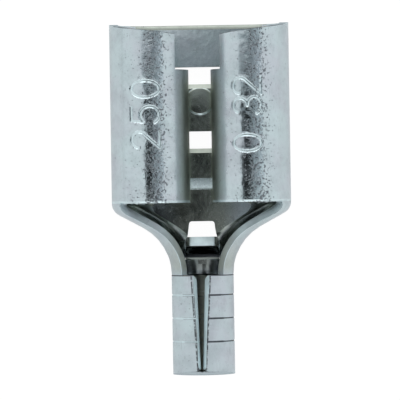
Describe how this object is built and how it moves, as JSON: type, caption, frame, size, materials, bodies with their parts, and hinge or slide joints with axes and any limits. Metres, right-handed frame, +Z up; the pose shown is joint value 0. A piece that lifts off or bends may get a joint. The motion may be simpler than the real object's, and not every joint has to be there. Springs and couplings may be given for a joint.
{
  "type": "female spade terminal",
  "caption": "Uninsulated crimp socket for a flat tab: folded sheet with rolled wings, floor windows, detent dimple, stop tab and a round wire barrel with an open seam.",
  "frame": {"origin": "middle of the bounding box in X and Y, on the underside of the floor", "axes": "+Y along the terminal towards the mouth where the tab goes in, +X across, +Z up from the floor to the rolled wings"},
  "size_m": [0.0076, 0.015, 0.0033],
  "materials": {
    "tinned_brass": "dull tin plate on brass"
  },
  "bodies": {
    "root": {"terminal": "tinned_brass"}
  },
  "joints": []
}
